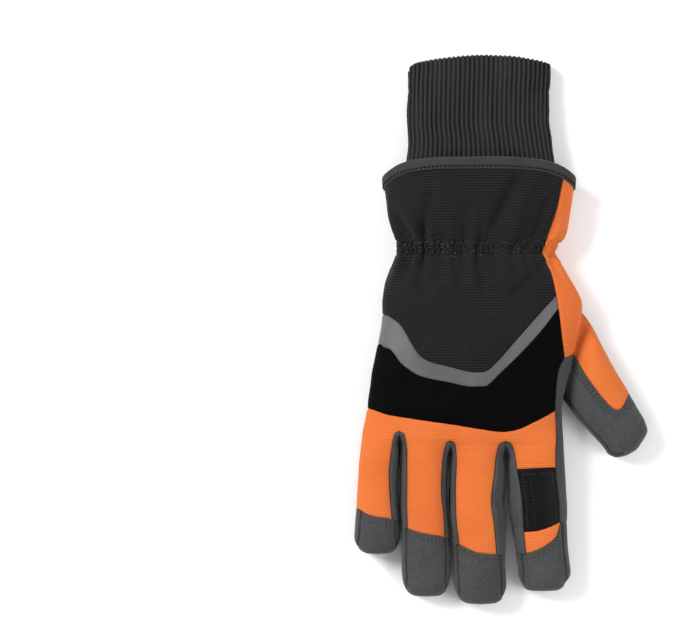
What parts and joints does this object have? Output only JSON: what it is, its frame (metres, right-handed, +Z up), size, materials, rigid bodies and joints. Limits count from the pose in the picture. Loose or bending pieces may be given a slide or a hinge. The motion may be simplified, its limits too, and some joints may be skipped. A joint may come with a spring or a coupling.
{
  "type": "winter work glove",
  "caption": "Padded right-hand winter work glove lying palm down, with rib-knit inner cuff, gathered gauntlet, orange finger backs and suede palm with quilted pads",
  "frame": {"origin": "under the middle of the outline, on the surface that the glove lies on", "axes": "+X to the thumb side, +Y from the fingertips to the free end of the knitted cuff, +Z up out of the back of the hand; it lies palm down"},
  "size_m": [0.1691, 0.3204, 0.034],
  "materials": {
    "knit": "rib knit, matt",
    "tape": "folded tape, matt",
    "ribbed_cloth": "finely ribbed stretch cloth, matt",
    "stripe": "grey reflective transfer, satin",
    "smooth_cloth": "smooth padded cloth, matt",
    "patch": "smooth patch, matt",
    "orange_cloth": "finely ribbed orange stretch cloth, matt",
    "suede": "suede, matt",
    "rubber": "moulded, satin"
  },
  "bodies": {
    "root": {"knit_cuff": "knit", "mouth_binding": "tape", "back_gauntlet": "ribbed_cloth", "reflective_stripe": "stripe", "knuckle_panel": "smooth_cloth", "finger_backs": "orange_cloth", "index_patch": "patch", "index_band": "orange_cloth", "fourchette_little": "suede", "fourchette_ring": "suede", "fourchette_middle": "suede", "fingertip_little": "suede", "fingertip_ring": "suede", "fingertip_middle": "suede", "fingertip_index": "suede", "side_panel": "orange_cloth", "palm": "suede", "palm_pad_fingers": "suede", "palm_pad_thumb": "suede", "palm_pad_heel": "suede", "cuff_tab": "suede", "tab_badge": "rubber"}
  },
  "joints": []
}
